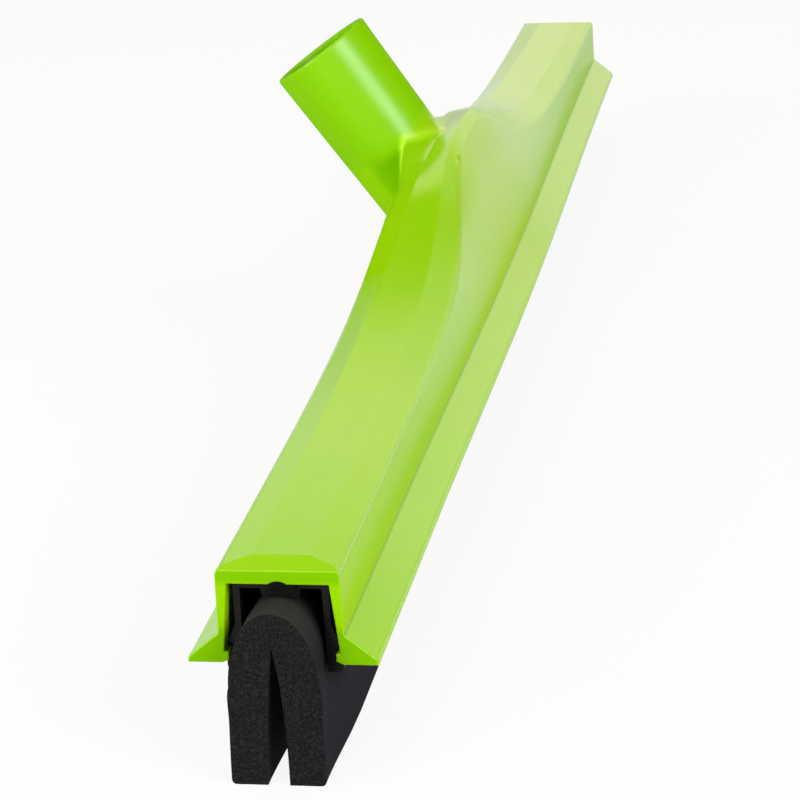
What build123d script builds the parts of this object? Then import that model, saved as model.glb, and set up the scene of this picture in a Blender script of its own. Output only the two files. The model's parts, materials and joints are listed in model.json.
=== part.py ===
"""Floor squeegee: a moulded frame with a handle socket, a slide-in cassette and a folded blade.

The length runs along X, the handle leans towards +Y, and Z is up. The origin lies on the floor,
under the middle of the twin blade.
"""
import os
from math import cos, radians, sin

from build123d import *

# Driving dimensions, in millimetres and degrees

# Frame, straight section at its ends
frame_length = 600.0
roof_width = 30.0  # across the top edges of the walls
wall_height = 24.2  # from the skirts' underside to the top edges
crown_width = 14.3  # flat strip along the middle of the roof
crown_height = 1.2  # how far that strip stands above the top edges
edge_round = 1.6  # where the rounding of a top edge starts, measured from its corner
skirt_height = 7.75
skirt_root_width = 30.5  # across the walls where the skirts start
skirt_span = 46.2  # across the skirts' tips
skirt_edge = 1.4  # thickness of a skirt's tip
tip_round = 0.8  # where the rounding of a tip starts, measured from its upper corner
skirt_swell = 1.7  # how far walls and skirts bulge at the middle of the length
skirt_swell_reach = 140.0
skirt_swell_power = 3.0
end_bevel_length = 6.0
end_bevel_drop = 0.3  # how far the bevel cuts into the end below the top edges

# Frame, hump under the socket: each long edge climbs from the straight section to its own peak
rear_edge_peak_y = 12.0
rear_edge_climb = 23.6
rear_edge_reach = 96.0
rear_edge_power = 3.7
shoulder_bulge = 2.7  # beside the socket the rear edge swells outwards by this
shoulder_climb = 5.5  # and climbs further by this
shoulder_reach = 25.0
shoulder_power = 6.0
rear_crease_peak_y = 4.9
rear_crease_climb = 27.0
rear_crease_reach = 97.0
rear_crease_power = 2.4
rear_crease_pull = 3.5  # over 1: the crease moves inwards later than it climbs
front_crease_peak_y = -1.4
front_crease_climb = 29.9
front_crease_reach = 76.0
front_crease_power = 2.7
front_edge_peak_y = -4.4
front_edge_climb = 30.2
front_edge_reach = 60.4
front_edge_power = 3.1
front_face_bend = 0.55  # share of the front face's height that stays upright before it leans back
station_count = 15  # even steps from the middle of the length to one end

# Frame, channel for the cassette
roof_thickness = 3.8  # at the top edges of the walls
channel_roof_width = 24.6
channel_foot_width = 28.0
lip_gap = 25.9  # clear width between the two lips
lip_step = 0.4  # rise of a lip's upper face towards the wall
lip_top = 3.0  # from the skirts' underside to where the lip meets the wall
lip_mouth_width = 29.4
lip_mouth_rise = 0.8  # rise of a lip's underside towards the channel
groove_width = 4.5
groove_depth = 0.75

# Frame, pocket that keeps the hump's walls even
pocket_length = 140.0
pocket_width = 21.0
pocket_top_length = 44.0
pocket_top_width = 11.0
pocket_height = 23.6
pocket_rib_count = 3
pocket_rib_pitch = 35.0
pocket_rib_thickness = 2.4

# Frame, handle socket
socket_lean = 34.7  # from upright, towards the handle side
socket_axis_y = 4.4  # the axis crosses this point
socket_axis_height = 24.45  # measured from the skirts' underside
socket_reach = 68.8  # from that point to the mouth
socket_mouth_diameter = 34.6
socket_root_diameter = 31.4
socket_sink = 4.0  # how far the socket runs on below the axis point, inside the walls
seat_diameter = 28.6  # smooth mouth that takes the handle's collar
seat_depth = 14.0
thread_diameter = 21.6  # plain bore; the thread's ridges are left out
thread_depth = 30.0
socket_root_fillet = 2.0
socket_rim_round = 0.8  # around the outside of the mouth
seat_lead_in = 0.8  # chamfer that guides the handle's collar in
end_round = 0.4  # along the edges of both end faces

# Cassette
slide_gap = 0.35  # clearance to the frame above, below and at the hooks
cassette_inset = 3.0  # from the frame's end to the cassette's end
cassette_web = 1.85
cassette_wall = 1.7
cassette_side_gap = 0.7  # beside the upper walls
hook_height = 5.5  # from the lip to where a hook leaves the wall
hook_edge = 1.4  # upright edge of a hook
jaw_gap = 20.4  # clear width between the jaws
jaw_top = 0.6  # above the skirts' underside
bead_width = 28.4
bead_depth = 3.2  # below the skirts' underside
bead_round = 1.3
rib_width = 9.8
rib_foot_width = 8.8

# Blade: one strip folded lengthwise, so that both its edges reach the floor
blade_reach = 28.5  # from the skirts' underside to the floor
blade_width = 23.0  # across both edges at the floor
blade_overhang = 7.0  # how far each end stands out of the frame
fold_top = 15.9  # above the skirts' underside
bulge_width = 23.2  # the sides swell towards this width below the jaws
bulge_drop = 3.8  # how far below the jaws they aim at it
slit_top = 7.0  # apex of the gap between the lobes
slit_width = 5.3  # at the floor
slit_bow_width = 3.8  # at the height given by slit_bow
slit_bow = -8.5

# Heights measured from the floor
skirt_z = blade_reach
wall_top_z = skirt_z + wall_height
crown_z = wall_top_z + crown_height
channel_roof_z = wall_top_z - roof_thickness
half_length = frame_length / 2


def climb(x, reach, power):
    """Bell curve along the length: 1 at the middle, 0 at the frame's ends."""
    def bell(distance):
        return 1 / (1 + (distance / reach) ** power)
    at_end = bell(half_length)
    return (bell(abs(x)) - at_end) / (1 - at_end)


def long_edge(x, end_y, end_z, peak_y, rise, reach, power, pull=1.0):
    """Point where one long edge of the roof crosses the section at x."""
    share = climb(x, reach, power)
    return Vector(end_y + (peak_y - end_y) * share ** pull, end_z + rise * share)


def frame_section(x):
    """Outline of the solid frame across its length at x, before the channel is cut."""
    swell = skirt_swell * climb(x, skirt_swell_reach, skirt_swell_power)
    tip_y = skirt_span / 2 + swell
    root_y = skirt_root_width / 2 + swell
    root_z = skirt_z + skirt_height
    rear_edge = long_edge(x, roof_width / 2, wall_top_z, rear_edge_peak_y,
                          rear_edge_climb, rear_edge_reach, rear_edge_power)
    rear_edge += Vector(shoulder_bulge, shoulder_climb) * climb(x, shoulder_reach, shoulder_power)
    rear_crease = long_edge(x, crown_width / 2, crown_z, rear_crease_peak_y,
                            rear_crease_climb, rear_crease_reach, rear_crease_power, rear_crease_pull)
    front_crease = long_edge(x, -crown_width / 2, crown_z, front_crease_peak_y,
                             front_crease_climb, front_crease_reach, front_crease_power)
    front_edge = long_edge(x, -roof_width / 2, wall_top_z, front_edge_peak_y,
                           front_edge_climb, front_edge_reach, front_edge_power)
    rear_root = Vector(root_y, root_z)
    front_root = Vector(-root_y, root_z)
    rear_tip = Vector(tip_y, skirt_z + skirt_edge)
    front_tip = Vector(-tip_y, skirt_z + skirt_edge)
    front_bend = Vector(-root_y, root_z + front_face_bend * (front_edge.Y - root_z))

    upright = Vector(0, 1)
    rear_skirt_start = rear_tip + (rear_root - rear_tip).normalized() * tip_round
    front_down = (front_tip - front_root).normalized()
    front_skirt_end = front_tip - front_down * tip_round
    rear_tip_end = rear_tip - upright * tip_round
    front_tip_start = front_tip - upright * tip_round
    rear_up = (rear_edge - rear_root).normalized()
    rear_wall_end = rear_edge - rear_up * edge_round
    rear_roof_start = rear_edge + (rear_crease - rear_edge).normalized() * edge_round
    front_roof_end = front_edge + (front_crease - front_edge).normalized() * edge_round
    front_inward = (front_edge - front_crease).normalized()
    front_wall_start = front_edge + (front_bend - front_edge).normalized() * edge_round

    with BuildSketch(Plane.YZ.offset(x)) as section:
        with BuildLine():
            Polyline(front_tip_start, (-tip_y, skirt_z), (tip_y, skirt_z), rear_tip_end)
            TangentArc(rear_tip_end, rear_skirt_start, tangent=upright)
            Polyline(rear_skirt_start, rear_root, rear_wall_end)
            TangentArc(rear_wall_end, rear_roof_start, tangent=rear_up)
            Polyline(rear_roof_start, rear_crease, front_crease, front_roof_end)
            TangentArc(front_roof_end, front_wall_start, tangent=front_inward)
            Bezier(front_wall_start, front_bend, front_root)
            Line(front_root, front_skirt_end)
            TangentArc(front_skirt_end, front_tip_start, tangent=front_down)
        make_face()
    return section.sketch


# Long tapering pocket under the hump, crossed by ribs
with BuildPart() as pocket:
    with BuildSketch(Plane.XY.offset(channel_roof_z - groove_depth)):
        Rectangle(pocket_length, pocket_width)
    with BuildSketch(Plane.XY.offset(channel_roof_z + pocket_height)):
        Rectangle(pocket_top_length, pocket_top_width)
    loft()
    with BuildSketch(Plane.XY.offset(channel_roof_z)):
        with GridLocations(pocket_rib_pitch, 0, pocket_rib_count, 1):
            Rectangle(pocket_rib_thickness, pocket_width)
    extrude(amount=pocket_height, mode=Mode.SUBTRACT)

# Frame: one moulding with its skirts, hump and handle socket
lean = radians(socket_lean)
socket_axis = Vector(0, sin(lean), cos(lean))
socket_foot = Vector(0, socket_axis_y, skirt_z + socket_axis_height)
socket_mouth = Plane(socket_foot + socket_axis * socket_reach, x_dir=(1, 0, 0), z_dir=socket_axis)
stations = [half_length * k / station_count for k in range(-station_count, station_count + 1)]
bevel_margin = end_bevel_drop + crown_height  # height that the bevel gains over its own length
groove_radius = (groove_width ** 2 / 4 + groove_depth ** 2) / (2 * groove_depth)

with BuildPart() as frame:
    loft([frame_section(x) for x in stations])

    # Bevels that thin the roof towards both ends, cut by wedges that stand well clear of the solid
    with BuildSketch(Plane.XZ):
        with BuildLine():
            Polyline((-half_length - end_bevel_length, wall_top_z - end_bevel_drop - bevel_margin),
                     (-half_length + 2 * end_bevel_length, crown_z + bevel_margin),
                     (-half_length - end_bevel_length, crown_z + bevel_margin), close=True)
        make_face()
        mirror(about=Plane.YZ)
    extrude(amount=roof_width, both=True, mode=Mode.SUBTRACT)

    # Handle socket
    with BuildSketch(socket_mouth.offset(-socket_reach - socket_sink)):
        Circle(socket_root_diameter / 2)
    with BuildSketch(socket_mouth):
        Circle(socket_mouth_diameter / 2)
    loft()

    # Channel between the lips, with a groove along its roof
    with BuildSketch(Plane.YZ):
        with BuildLine():
            Polyline((0, skirt_z - lip_top), (lip_mouth_width / 2, skirt_z - lip_top),
                     (lip_mouth_width / 2, skirt_z), (lip_gap / 2, skirt_z + lip_mouth_rise),
                     (lip_gap / 2, skirt_z + lip_top - lip_step),
                     (channel_foot_width / 2, skirt_z + lip_top),
                     (channel_roof_width / 2, channel_roof_z), (0, channel_roof_z))
            mirror(about=Plane.YZ)
        make_face()
        with Locations((0, channel_roof_z + groove_depth - groove_radius)):
            Circle(groove_radius)
    extrude(amount=half_length, both=True, mode=Mode.SUBTRACT)
    add(pocket, mode=Mode.SUBTRACT)

    # Stepped bore for the handle
    with BuildSketch(socket_mouth):
        Circle(seat_diameter / 2)
    extrude(amount=-seat_depth, mode=Mode.SUBTRACT)
    with BuildSketch(socket_mouth):
        Circle(thread_diameter / 2)
    extrude(amount=-seat_depth - thread_depth, mode=Mode.SUBTRACT)

    # Roundings: where the socket grows out of the body, at its mouth, and along the end faces
    socket_skin = faces().filter_by(GeomType.CONE)[0]
    fillet(socket_skin.edges().filter_by(GeomType.BSPLINE), socket_root_fillet)
    outwards = Axis(socket_mouth.origin, socket_axis)
    chamfer(faces().sort_by(outwards)[-1].edges().sort_by(SortBy.RADIUS)[0], seat_lead_in)
    fillet(faces().sort_by(outwards)[-1].edges().sort_by(SortBy.RADIUS)[-1], socket_rim_round)
    end_faces = faces().sort_by(Axis.X)
    fillet(end_faces[0].edges() + end_faces[-1].edges(), end_round)

# Cassette: one section with hooks above the lips, and jaws that end in beads below them
cassette_top = channel_roof_z - slide_gap
hook_z = skirt_z + lip_top + slide_gap
wall_lean = (channel_foot_width - channel_roof_width) / 2 / (channel_roof_z - skirt_z - lip_top)
hook_y = channel_foot_width / 2 - slide_gap - wall_lean * (slide_gap + hook_edge)
neck_y = lip_gap / 2 - slide_gap
top_y = channel_roof_width / 2 - cassette_side_gap
bead_y = bead_width / 2
jaw_y = jaw_gap / 2
jaw_foot_z = skirt_z - bead_depth
web_z = cassette_top - cassette_web
rib_z = skirt_z + fold_top

with BuildPart() as cassette:
    with BuildSketch(Plane.YZ):
        with BuildLine():
            Polyline((0, cassette_top), (top_y, cassette_top), (top_y, hook_z + hook_height),
                     (hook_y, hook_z + hook_edge), (hook_y, hook_z), (neck_y, hook_z - lip_step),
                     (neck_y, skirt_z - slide_gap), (bead_y, skirt_z - slide_gap), (bead_y, jaw_foot_z),
                     (jaw_y, jaw_foot_z), (jaw_y, skirt_z + jaw_top), (top_y - cassette_wall, web_z),
                     (rib_width / 2, web_z), (rib_foot_width / 2, rib_z), (0, rib_z))
            mirror(about=Plane.YZ)
        make_face()
        bead_corners = vertices().group_by(Axis.Y)[0].sort_by(Axis.X)
        fillet((bead_corners[0], bead_corners[-1]), bead_round)
    extrude(amount=half_length - cassette_inset, both=True)

# Blade: both lobes of the folded strip, arched at the fold and squeezed between the jaws
with BuildPart() as blade:
    with BuildSketch(Plane.YZ):
        with BuildLine():
            EllipticalCenterArc((0, skirt_z + jaw_top), jaw_y, fold_top - jaw_top)
            Line((jaw_y, skirt_z + jaw_top), (jaw_y, jaw_foot_z))
            Bezier((jaw_y, jaw_foot_z), (bulge_width / 2, jaw_foot_z - bulge_drop), (blade_width / 2, 0))
            Line((blade_width / 2, 0), (slit_width / 2, 0))
            ThreePointArc((slit_width / 2, 0), (slit_bow_width / 2, skirt_z + slit_bow),
                          (0, skirt_z + slit_top))
            mirror(about=Plane.YZ)
        make_face()
    extrude(amount=half_length + blade_overhang, both=True)

os.makedirs("parts", exist_ok=True)
for name, piece in (("frame", frame), ("cassette", cassette), ("blade", blade)):
    piece.part.label = name
    export_step(piece.part, f"parts/{name}.step")
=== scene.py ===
import json
from math import cos, pi, radians, sin

import bmesh
import bpy
import numpy as np
from mathutils import Matrix, Vector, noise


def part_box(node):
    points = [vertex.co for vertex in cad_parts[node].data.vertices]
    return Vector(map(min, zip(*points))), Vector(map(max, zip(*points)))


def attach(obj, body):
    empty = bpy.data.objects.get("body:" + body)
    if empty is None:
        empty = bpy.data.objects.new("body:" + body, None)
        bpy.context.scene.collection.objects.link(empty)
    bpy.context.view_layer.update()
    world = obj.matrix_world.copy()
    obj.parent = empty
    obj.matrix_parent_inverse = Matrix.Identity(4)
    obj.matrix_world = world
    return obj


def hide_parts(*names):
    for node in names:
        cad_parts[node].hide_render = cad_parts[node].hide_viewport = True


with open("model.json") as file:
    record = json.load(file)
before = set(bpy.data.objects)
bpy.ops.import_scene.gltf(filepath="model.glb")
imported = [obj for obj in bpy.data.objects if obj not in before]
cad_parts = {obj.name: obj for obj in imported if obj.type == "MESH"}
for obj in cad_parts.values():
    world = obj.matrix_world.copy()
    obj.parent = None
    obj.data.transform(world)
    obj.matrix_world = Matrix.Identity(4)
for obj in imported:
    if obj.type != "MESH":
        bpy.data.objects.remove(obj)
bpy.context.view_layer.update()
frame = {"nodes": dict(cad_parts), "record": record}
scene = bpy.context.scene
MM = 0.001


def set_stops(ramp, stops):
    """Give a colour ramp these stops, each a position and a colour."""
    while len(ramp.elements) < len(stops):
        ramp.elements.new(1.0)
    for element, (position, colour) in zip(ramp.elements, stops):
        element.position = position
        element.color = (*colour, 1.0)


class Wire:
    """One output of a shader node. Arithmetic on wires adds Math nodes."""

    def __init__(self, tree, socket=None):
        self.tree = tree
        self.socket = socket

    def add(self, kind, settings=None, sockets=None, output=0):
        """Add a node, make its settings, feed its sockets, and return one of its outputs."""
        node = self.tree.nodes.new(kind)
        for name, value in (settings or {}).items():
            if name == "stops":
                set_stops(node.color_ramp, value)
            else:
                setattr(node, name, value)
        for name, value in (sockets or {}).items():
            if isinstance(value, Wire):
                self.tree.links.new(value.socket, node.inputs[name])
            else:
                node.inputs[name].default_value = value
        return Wire(self.tree, node.outputs[output] if node.outputs else None)

    def maths(self, operation, first, second):
        return self.add("ShaderNodeMath", {"operation": operation}, {0: first, 1: second})

    def __add__(self, other):
        return self.maths("ADD", self, other)

    __radd__ = __add__

    def __sub__(self, other):
        return self.maths("SUBTRACT", self, other)

    def __rsub__(self, other):
        return self.maths("SUBTRACT", other, self)

    def __mul__(self, other):
        return self.maths("MULTIPLY", self, other)

    __rmul__ = __mul__

    def __truediv__(self, other):
        return self.maths("DIVIDE", self, other)

    def __rtruediv__(self, other):
        return self.maths("DIVIDE", other, self)

    def __pow__(self, other):
        return self.maths("POWER", self, other)

    def size(self):
        return self.maths("ABSOLUTE", self, 0.0)

    def clamped(self):
        return self.add("ShaderNodeClamp", {}, {"Value": self})

    def part(self, axis):
        return self.add("ShaderNodeSeparateXYZ", {}, {"Vector": self}, axis)

    def fade(self, off, on):
        """0 where this wire has the value of off, 1 where it has that of on, and straight between them."""
        return ((self - off) / (on - off)).clamped()

    def line_at(self, place, half_width):
        """1 where this wire has the value of place, fading to 0 at half_width beside it."""
        return (1 - (self - place).size() / half_width).clamped()

    def between(self, low, high):
        """Colour that runs from low to high as this wire runs from 0 to 1."""
        low, high = (end if isinstance(end, Wire) else (*end, 1.0) for end in (low, high))
        return self.add("ShaderNodeMix", {"data_type": "RGBA"}, {0: self, 6: low, 7: high}, 2)

    def speckle(self, size_mm, detail=2.0, stretch=(1.0, 1.0, 1.0)):
        """Soft noise on this place, with features of about the given size."""
        place = self.add("ShaderNodeVectorMath", {"operation": "MULTIPLY"}, {0: self, 1: stretch})
        sockets = {"Vector": place, "Scale": 1 / (size_mm * MM), "Detail": detail}
        return self.add("ShaderNodeTexNoise", {}, sockets)

    def relief(self, depth_mm, under=None):
        """Normal of a surface whose height follows this wire, on top of the relief under it."""
        sockets = {"Height": self, "Distance": depth_mm * MM, "Strength": 1.0}
        if under:
            sockets["Normal"] = under
        return self.add("ShaderNodeBump", {}, sockets)


def new_finish(name):
    """Empty material, and the start of its wiring."""
    material = bpy.data.materials.new(name)
    material.use_nodes = True
    material.node_tree.nodes.clear()
    return material, Wire(material.node_tree)


def coat(wire, gloss, **sockets):
    """Close a material whose shader's sockets are given by name; gloss is the share that reflects."""
    named = {name.replace("_", " "): value for name, value in sockets.items()}
    shiny = wire.add("ShaderNodeBsdfPrincipled", {}, named)
    matt = wire.add("ShaderNodeBsdfPrincipled", {}, named | {"Specular IOR Level": 0.0})
    mixed = wire.add("ShaderNodeMixShader", {}, {0: gloss, 1: matt, 2: shiny})
    wire.add("ShaderNodeOutputMaterial", {}, {"Surface": mixed})


# Frame: places that its finish follows, in millimetres
half_length = 300.0
channel_half_width = 14.5  # what lies further out than this is on the outside
skirt_root_height = 36.25
leg_foot, leg_head = 36.5, 50.0  # the walls' end faces, between the skirts and the roof
leg_fade = 2.0
parting_height = 51.0  # of the mould's parting line on the straight ends; over the hump it climbs
parting_start, parting_full = 140.0, 200.0  # distances from the middle between which that line appears
hump_rise, hump_reach, hump_power = 30.2, 60.4, 3.1  # bell curve of the hump
shoulder_y = 6.0  # the roof turns down to the rear from here on
socket_lean = radians(34.7)
socket_foot_y, socket_foot_z = 4.4, 52.95  # start of the socket's axis
socket_root = 74.0  # the socket's satin skin starts here, measured along its lean
satin_fade = 6.0
fillet_inside, fillet_outside = 15.8, 18.5  # distances from the socket's axis to the fillet at its foot
fillet_z, fillet_y = 83.0, 15.2  # where that fillet runs over the hump's top and down its rear wall

# Frame: colours
lime_dark, lime_light = (0.27, 0.585, 0.002), (0.29, 0.61, 0.003)
# Painted reflection: the sides that face -Y are paler and warmer, paler still over the hump
flank_reflection_lime, hump_flank_reflection_lime = (0.325, 0.605, 0.002), (0.38, 0.62, 0.002)
socket_lime = (0.228, 0.56, 0.001)
# Painted shade: the end faces are darker; painted highlight: their thin legs are paler
end_shade_lime, leg_highlight_lime = (0.185, 0.475, 0.001), (0.265, 0.575, 0.002)  # end faces; the thin legs are paler
# Painted highlight: paler, yellower colour of the fillet at the socket's foot
fillet_highlight_lime = (0.5, 0.8, 0.03)
# Painted shade: colour of the fine dark lines
shade_line_lime = (0.06, 0.15, 0.002)


def lime_plastic():
    """Glossy moulded plastic: faint sink marks, a fine skin, uneven gloss, and painted light: a painted
    reflection on the sides that face -Y, painted shade on the end faces with a painted highlight on their
    thin upright strips, a painted highlight at the socket's foot, and fine dark lines of painted shade at the
    mould's seam and in the inner corner above the skirts.
    """
    material, wire = new_finish("lime_plastic")
    place = wire.add("ShaderNodeTexCoord", output="Object")
    facing = wire.add("ShaderNodeTexCoord", output="Normal")
    x, y, z = (place.part(axis) / MM for axis in "XYZ")
    facing_x, facing_y, facing_z = (facing.part(axis) for axis in "XYZ")
    from_middle = x.size()
    cloud = place.speckle(25.0, detail=3.0)
    sink = place.speckle(55.0, detail=1.0, stretch=(0.5, 1.0, 1.0))
    skin = place.speckle(0.5)

    # Masks: 1 on the part that each is named for
    outside = y.size().fade(channel_half_width, channel_half_width + 1)
    hump = 1 / (1 + (from_middle / hump_reach) ** hump_power)
    socket = (y * sin(socket_lean) + z * cos(socket_lean)).fade(socket_root, socket_root + satin_fade)
    end_face = facing_x.size().fade(0.88, 0.98) * (1 - socket)
    flank = facing_y.fade(-0.5, -1.0)
    rear_shoulder = y.fade(shoulder_y, shoulder_y + 1) * hump.fade(0.075, 0.2) * x.fade(2.0, -8.0)
    socket_side = socket * facing_x.size().fade(0.733, 0.4)
    far_crest = hump * x.fade(0.0, 40.0) * facing_z.fade(0.6, 0.933)
    upward = facing_z.fade(0.55, 0.75)
    near_rise = x.fade(-190.0, -85.0) * x.fade(-50.0, -60.0) * z.fade(38.0, 42.0) * upward
    near_end = x.fade(-225.0, -285.0) * upward
    # Thin legs of the end faces, which get a painted highlight
    highlighted_legs = z.fade(leg_foot, leg_foot + leg_fade) * z.fade(leg_head, leg_head - leg_fade)

    # Painted highlight: the fillet at the socket's foot is painted paler and yellower
    off_axis = (y - socket_foot_y) * cos(socket_lean) - (z - socket_foot_z) * sin(socket_lean)
    from_axis = (from_middle ** 2 + off_axis.size() ** 2) ** 0.5
    around = from_axis.fade(fillet_inside, fillet_inside + 1)
    around = around * from_axis.fade(fillet_outside, fillet_outside - 1)
    on_top = z.line_at(fillet_z, 1.8) * y.fade(fillet_y + 0.3, fillet_y - 0.7)
    on_rear = y.line_at(fillet_y, 1.5) * z.fade(fillet_z + 1, fillet_z)
    fillet_highlight = around * (on_top + on_rear).clamped()

    # Fine dark lines of painted shade: a painted shadow gap along the line where the mould's halves met, and
    # painted shade in the crease above the skirts
    crease_shade = z.line_at(skirt_root_height, 0.4) * outside
    parting_shadow = z.line_at(parting_height + hump_rise * hump, 0.3) * outside
    parting_shadow = parting_shadow * from_middle.fade(parting_start, parting_full)
    lines = (0.5 * crease_shade + 0.45 * parting_shadow * (0.6 + cloud)).clamped()

    # The floor is white in reflections, so faces that mirror it reflect less, and more at the far end
    towards_far_end = x.fade(-half_length, half_length)
    skyward = (facing_z + 0.12 * towards_far_end ** 2).fade(-0.05, 0.35)
    dull = 0.9 * end_face + 0.15 * flank * hump + 0.8 * rear_shoulder * (1 - socket) + 0.85 * socket_side
    dull = dull + 0.55 * near_rise + 0.25 * near_end
    gloss = (0.12 + 0.85 * skyward) * (1 - dull.clamped())
    roughness = 0.12 + 0.05 * cloud + 0.06 * hump + 0.12 * socket + 0.16 * far_crest

    colour = cloud.between(lime_dark, lime_light)
    # Painted reflection on the sides that face -Y
    colour = flank.between(colour, hump.between(flank_reflection_lime, hump_flank_reflection_lime))
    colour = socket.between(colour, socket_lime)
    # Painted shade on the end faces, with a painted highlight on their legs
    colour = end_face.between(colour, highlighted_legs.between(end_shade_lime, leg_highlight_lime))
    # Painted highlight at the socket's foot
    colour = fillet_highlight.between(colour, fillet_highlight_lime)
    # Fine dark lines of painted shade
    colour = lines.between(colour, shade_line_lime)
    coat(wire, gloss, Base_Color=colour, Roughness=roughness, Normal=skin.relief(0.0015, sink.relief(0.3)))
    return material


def black_plastic():
    """Extruded plastic with fine draw lines along the length."""
    material, wire = new_finish("black_plastic")
    place = wire.add("ShaderNodeTexCoord", output="Object")
    lines = place.speckle(0.5, stretch=(0.02, 1.0, 1.0))
    coat(wire, 0.3, Base_Color=lines.between((0.005, 0.005, 0.004), (0.009, 0.009, 0.008)),
         Roughness=0.22 + 0.1 * lines, Normal=lines.relief(0.02))
    return material


def rubber_skin():
    """Closed, satin outside of the cellular rubber, more grainy towards the fold, where a painted sheen also
    makes it paler.
    """
    material, wire = new_finish("rubber_skin")
    place = wire.add("ShaderNodeTexCoord", output="Object")
    grain = place.speckle(0.35, detail=3.0)
    fold = (place.part("Z") / MM).fade(31.2, 43.2)
    # Painted sheen: the skin gets paler towards the fold, where its grain also shows more
    tone = 0.2 * place.speckle(18.0) + 0.5 * (grain - 0.5) + fold * (0.05 + 1.6 * grain)
    coat(wire, 0.06, Base_Color=tone.clamped().between((0.016, 0.016, 0.022), (0.040, 0.040, 0.037)),
         Roughness=0.42 + 0.12 * grain, Normal=grain.relief(0.05))
    return material


def rubber_cells():
    """Cut face of the cellular rubber: dark open cells of painted shade between paler cell rims, and a few
    pale specks that are painted glints.
    """
    material, wire = new_finish("rubber_cells")
    place = wire.add("ShaderNodeTexCoord", output="Object")
    cells = wire.add("ShaderNodeTexVoronoi", {"feature": "F1"},
                     {"Vector": place, "Scale": 1 / (0.55 * MM)}, "Distance")
    # Pale specks: painted glints
    fleck_glints = place.speckle(0.9, detail=1.0).fade(0.66, 0.771)
    # Painted shade darkens the open cells
    cell_shade_and_glints = (2.0 * cells * place.speckle(0.4) + 0.7 * fleck_glints).clamped()
    coat(wire, 0.15, Base_Color=cell_shade_and_glints.between((0.001, 0.001, 0.001), (0.0195, 0.0195, 0.019)),
         Roughness=0.8, Normal=cells.relief(0.14))
    return material


def new_piece(name, points, faces, materials, choice=None):
    """Smooth mesh object; choice gives the number of each face's material."""
    mesh = bpy.data.meshes.new(name)
    mesh.from_pydata([tuple(p) for p in points], [], faces)
    for material in materials:
        mesh.materials.append(material)
    if choice is not None:
        mesh.polygons.foreach_set("material_index", np.asarray(choice, dtype=np.int32))
    shape = bmesh.new()
    shape.from_mesh(mesh)
    bmesh.ops.recalc_face_normals(shape, faces=shape.faces)
    shape.to_mesh(mesh)
    shape.free()
    mesh.shade_smooth()
    mesh.set_sharp_from_angle(angle=radians(45))
    piece = bpy.data.objects.new(name, mesh)
    scene.collection.objects.link(piece)
    return piece


# Blade: the strip is folded over lengthwise; sizes of its section in millimetres, from the floor up
edge_half = 11.5
edge_round = 1.2
bulge_half, bulge_height = 11.6, 21.5  # the sides swell towards this point below the jaws
jaw_half, jaw_foot, jaw_head = 10.2, 25.3, 29.1
fold_height = 44.4
slit_half, slit_height = 2.65, 35.5
slit_middle = (1.9, 20.0)  # the slit's wall bows out to this point
blade_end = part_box("blade")[1].x / MM
cassette_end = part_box("cassette")[1].x / MM

# Blade: what the jaws and the cut do to it
free_swell, swell_reach = 0.9, 6.0  # the sides swell where the jaws no longer hold them
lean_at_jaws, lean_at_floor, lean_reach = 0.9, 1.4, 40.0  # the near end leans to the handle side
point_spacing = 0.28  # on the cut ends
cell_kinds = ((0.95, 0.55, 0.3), (0.5, 0.5, 0.16))  # spacing, reach and depth of wide and of fine cells
rim_depth = 0.4  # share of a cell's depth that is left at the rim
steps_in = np.array([0, 0.6, 1.5, 3, 5, 7.5, 10, 14, 20, 28, 40, 70, 110, 160, 230])  # sections from each end
SKIN, CUT = 0, 1


def parabola(start, pull, end, steps=40):
    """Points of a parabola from start to end, drawn towards pull."""
    t = np.linspace(0, 1, steps)[:, None]
    return (1 - t) ** 2 * np.array(start) + 2 * t * (1 - t) * np.array(pull) + t ** 2 * np.array(end)


def evenly(points, count):
    """The same line with points at even distances."""
    length = np.concatenate([[0], np.cumsum(np.linalg.norm(np.diff(points, axis=0), axis=1))])
    wanted = np.linspace(0, length[-1], count)
    return np.column_stack([np.interp(wanted, length, points[:, axis]) for axis in (0, 1)])


def both_sides(half):
    """Line over the fold, from the rear floor edge to the front one."""
    front = half[-2::-1] * np.array([-1, 1])
    return np.concatenate([half, front])


def strip_section():
    """Grid of section points, and the depth of its columns: 0 on the outside, 1 on the wall of the slit."""
    turn = np.linspace(0, pi / 2, 60)
    arch = np.column_stack([jaw_half * np.cos(turn), jaw_head + (fold_height - jaw_head) * np.sin(turn)])
    corner = np.column_stack([edge_half - edge_round * (1 - np.sin(turn)), edge_round * (1 - np.cos(turn))])
    side = parabola((edge_half, edge_round), (bulge_half, bulge_height), (jaw_half, jaw_foot))
    outside = np.concatenate([corner, side[1:], arch])
    slit_foot, slit_top = np.array((slit_half, 0)), np.array((0, slit_height))
    slit_pull = 2 * np.array(slit_middle) - (slit_foot + slit_top) / 2
    inside = parabola(slit_foot, slit_pull, slit_top)
    rows = int(np.linalg.norm(np.diff(outside, axis=0), axis=1).sum() / point_spacing)
    columns = int((edge_half - slit_half) / point_spacing)
    outside = both_sides(evenly(outside, rows))
    inside = both_sides(evenly(inside, rows))
    depth = np.linspace(0, 1, columns)[None, :, None]
    return outside[:, None] * (1 - depth) + inside[:, None] * depth, depth[0, :, 0]


def smooth(value, low, high):
    """0 below low, 1 above high, and a soft step between them."""
    t = np.clip((value - low) / (high - low), 0, 1)
    return t * t * (3 - 2 * t)


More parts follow.
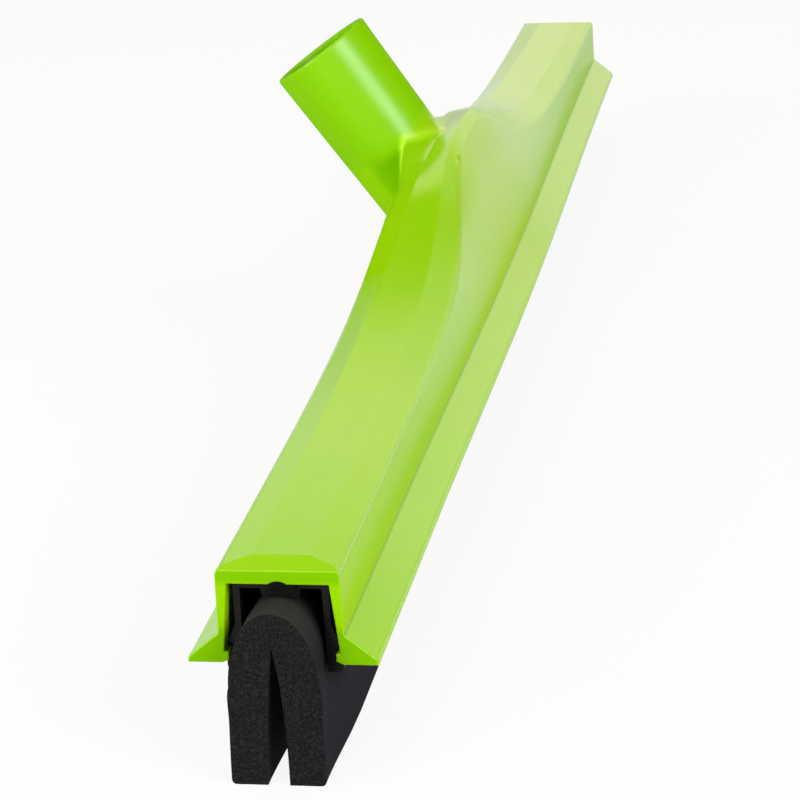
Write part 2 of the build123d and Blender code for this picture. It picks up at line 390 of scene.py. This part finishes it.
def settle(section, depth, x):
    """Section at x: free of the jaws near the ends, and leaning at the near end."""
    y, z = section[..., 0], section[..., 1]
    free = smooth(abs(x), cassette_end, blade_end)
    swell = free * free_swell * (1 - depth) * np.exp(-((z - jaw_foot) / swell_reach) ** 2)
    lean = lean_at_floor + (lean_at_jaws - lean_at_floor) * np.clip(z / jaw_foot, 0, 1)
    y = y + np.sign(y) * swell + lean * smooth(-x, blade_end - lean_reach, blade_end)
    return np.stack([np.full_like(y, x), y, z], axis=-1)


def cell_depth(y, z, layer):
    """How deep the open cells are at this point of a cut end, in millimetres."""
    depth = 0.0
    for number, (spacing, reach, deepest) in enumerate(cell_kinds):
        from_middle = noise.voronoi((y / spacing, z / spacing, layer + 5 * number))[0][0]
        depth += deepest * max(0.0, 1 - from_middle / reach)
    return depth


def folded_strip():
    """Points and faces of the blade, and the material number of each face."""
    section, depth = strip_section()
    rows, columns = section.shape[:2]
    rim = [(i, 0) for i in range(rows)]
    rim += [(rows - 1, j) for j in range(1, columns)]
    rim += [(i, columns - 1) for i in range(rows - 2, -1, -1)]
    rim += [(0, j) for j in range(columns - 2, 0, -1)]
    rim_rows, rim_columns = np.array(rim).T
    ring = len(rim)
    stations = np.concatenate([-blade_end + steps_in, [0.0], blade_end - steps_in[::-1]])
    points, faces, choice = [], [], []

    # Outside, slit and floor edges, from section to section
    for x in stations:
        points.extend(settle(section, depth, x)[rim_rows, rim_columns])
    for k in range(len(stations) - 1):
        for m in range(ring):
            n = (m + 1) % ring
            faces.append((k * ring + m, k * ring + n, (k + 1) * ring + n, (k + 1) * ring + m))
            on_floor = rim_rows[m] == rim_rows[n] and rim_rows[m] in (0, rows - 1)
            choice.append(CUT if on_floor else SKIN)

    # Cut ends with their open cells
    for station, x in ((0, -blade_end), (len(stations) - 1, blade_end)):
        place = settle(section, depth, x)
        number = np.zeros((rows, columns), dtype=int)
        number[rim_rows, rim_columns] = station * ring + np.arange(ring)
        inwards = 1 if x < 0 else -1
        for i in range(rows):
            for j in range(columns):
                px, py, pz = place[i, j]
                at_rim = i in (0, rows - 1) or j in (0, columns - 1)
                pit = cell_depth(py, pz, x) * (rim_depth if at_rim else 1.0)
                point = (px + inwards * pit, py, pz)
                if at_rim:
                    points[number[i, j]] = point
                else:
                    number[i, j] = len(points)
                    points.append(point)
        for i in range(rows - 1):
            for j in range(columns - 1):
                faces.append((number[i, j], number[i + 1, j], number[i + 1, j + 1], number[i, j + 1]))
                choice.append(CUT)
    return np.array(points) * MM, faces, choice


strip_points, strip_faces, strip_choice = folded_strip()
blade = new_piece("blade_strip", strip_points, strip_faces, [rubber_skin(), rubber_cells()], strip_choice)
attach(blade, "cassette")
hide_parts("blade")

# Thread inside the handle socket, in millimetres
thread_pitch = 5.0
thread_margin = 2.5  # bare bore at either end of it
thread_steps = 48  # to one turn
ridge_height = 1.1
ridge_foot, ridge_crest = 2.8, 1.2
ridge_sink = 0.2  # how far the ridge's foot reaches into the wall


def thread_ridge(bore):
    """Points and faces of one ridge that winds down the bore and runs out at both its ends."""
    radius, length = bore["dims"]["r_mm"], bore["dims"]["length_mm"]
    middle, axis = Vector(bore["pos_m"]), Vector(bore["axis"])
    across = Vector((1, 0, 0))
    upwards = axis.cross(across)
    steps = (length - 2 * thread_margin) / thread_pitch * thread_steps
    points = []
    for k in range(int(steps) + 1):
        angle = 2 * pi * k / thread_steps
        along = length / 2 - thread_margin - thread_pitch * k / thread_steps
        run_out = min(k, steps - k) / (thread_steps / 4)
        crest = radius - ridge_height * min(1.0, run_out)
        foot = radius + ridge_sink
        outward = cos(angle) * across + sin(angle) * upwards
        for reach, shift in ((foot, ridge_foot / 2), (crest, ridge_crest / 2),
                             (crest, -ridge_crest / 2), (foot, -ridge_foot / 2)):
            points.append(middle + (outward * reach + axis * (along + shift)) * MM)
    last = len(points) - 4
    faces = [(k + m, k + (m + 1) % 4, k + 4 + (m + 1) % 4, k + 4 + m)
             for k in range(0, last, 4) for m in range(4)]
    faces += [(0, 1, 2, 3), (last, last + 1, last + 2, last + 3)]
    return points, faces


lime = lime_plastic()
handle_bore = next(mount for mount in frame["record"]["mounts"] if mount["name"] == "handle_thread")
thread = new_piece("socket_thread", *thread_ridge(handle_bore), [lime])
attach(thread, "frame")

# Moulded nodes keep their shape and take their finish
for node, material in (("frame", lime), ("cassette", black_plastic())):
    for slot in frame["nodes"][node].material_slots:
        slot.material = material

# Floor: white where the camera or a reflection sees it, and it keeps the shadow
floor_glow = 0.9  # share of that white which doesn't depend on the lamps
floor_paint, wire = new_finish("floor")
camera_ray, glossy_ray, transmission_ray = (
    wire.add("ShaderNodeLightPath", output=f"Is {kind} Ray") for kind in ("Camera", "Glossy", "Transmission"))
seen = (camera_ray + glossy_ray + transmission_ray).clamped()
matt = wire.add("ShaderNodeBsdfDiffuse", {}, {"Color": (0.9, 0.9, 0.9, 1.0)})
glow = wire.add("ShaderNodeEmission", {}, {"Color": (1.0, 1.0, 1.0, 1.0), "Strength": 1.0})
white = wire.add("ShaderNodeMixShader", {}, {0: seen * floor_glow, 1: matt, 2: glow})
wire.add("ShaderNodeOutputMaterial", {}, {"Surface": white})
bpy.ops.mesh.primitive_plane_add(size=8.0)
floor = bpy.context.object
floor.name = "floor"
floor.data.materials.append(floor_paint)

# Studio: a warm window beyond the far end, dim walls and ceiling; the camera itself sees white
window_stops = [(0.0, (1.1, 1.05, 0.9)), (0.16, (1.6, 1.45, 1.1)), (0.3, (1.6, 1.4, 1.0)),
                (0.42, (1.7, 1.45, 0.9)), (0.5, (2.0, 1.7, 1.0)), (0.56, (1.3, 1.1, 0.4)),
                (0.64, (0.45, 0.4, 0.08)), (0.68, (0.04, 0.04, 0.03))]
world = bpy.data.worlds.new("studio")
world.use_nodes = True
world.node_tree.nodes.clear()
wire = Wire(world.node_tree)
gaze = wire.add("ShaderNodeTexCoord", output="Generated")
gaze_x, gaze_y, gaze_z = (gaze.part(axis) for axis in "XYZ")
window = gaze_x.fade(0.0, 0.5) * gaze_y.fade(-0.527, -0.345) * gaze_y.fade(0.575, 0.345)
window_height = gaze_z - 0.17 * gaze_y.fade(0.1, 0.225)  # it reaches higher on the handle side
room = wire.add("ShaderNodeValToRGB", {"stops": window_stops}, {"Fac": window_height})
room = window.between((0.12, 0.12, 0.12), room)
room = gaze_z.fade(0.825, 0.95).between(room, (0.25, 0.25, 0.25))
room = wire.add("ShaderNodeLightPath", output="Is Camera Ray").between(room, (1.0, 1.0, 1.0))
wire.add("ShaderNodeOutputWorld", {}, {"Surface": wire.add("ShaderNodeBackground", {}, {"Color": room})})
scene.world = world


def softbox(name, place, aim, width, height, brightness, colour=(1.0, 1.0, 1.0)):
    """Rectangular lamp that looks as bright as given, against 1 for white."""
    lamp = bpy.data.lights.new(name, "AREA")
    lamp.shape = "RECTANGLE"
    lamp.size = width
    lamp.size_y = height
    lamp.energy = brightness * pi * width * height
    lamp.color = colour
    holder = bpy.data.objects.new(name, lamp)
    holder.location = place
    holder.rotation_euler = (Vector(aim) - Vector(place)).to_track_quat("-Z", "Y").to_euler()
    scene.collection.objects.link(holder)


softbox("front_softbox", place=(-1.2, -1.79, 1.28), aim=(-0.05, 0, 0.06),
        width=1.28, height=1.28, brightness=8.6)
softbox("top_softbox", place=(-0.25, 0.2, 1.28), aim=(-0.25, 0.2, 0.0),
        width=1.3, height=0.5, brightness=1.6, colour=(1.0, 0.95, 0.75))
softbox("end_softbox", place=(-1.2, 1.05, 0.55), aim=(-0.1, 0, 0.06),
        width=1.8, height=1.0, brightness=4.0)

# Camera, fitted to the corners in the photograph
lens = bpy.data.cameras.new("camera")
lens.sensor_width = 36.0
lens.lens = 125.67
lens.clip_start = 0.01
camera = bpy.data.objects.new("camera", lens)
right = Vector((0.1624, -0.98523, -0.05426))
down = Vector((-0.33893, -0.00405, -0.9408))
ahead = Vector((0.92669, 0.17118, -0.33458))
turn = Matrix((right, -down, -ahead)).transposed().to_4x4()
camera.matrix_world = Matrix.Translation((-0.88735, -0.14033, 0.30718)) @ turn
scene.collection.objects.link(camera)
scene.camera = camera
scene.view_settings.view_transform = "Standard"
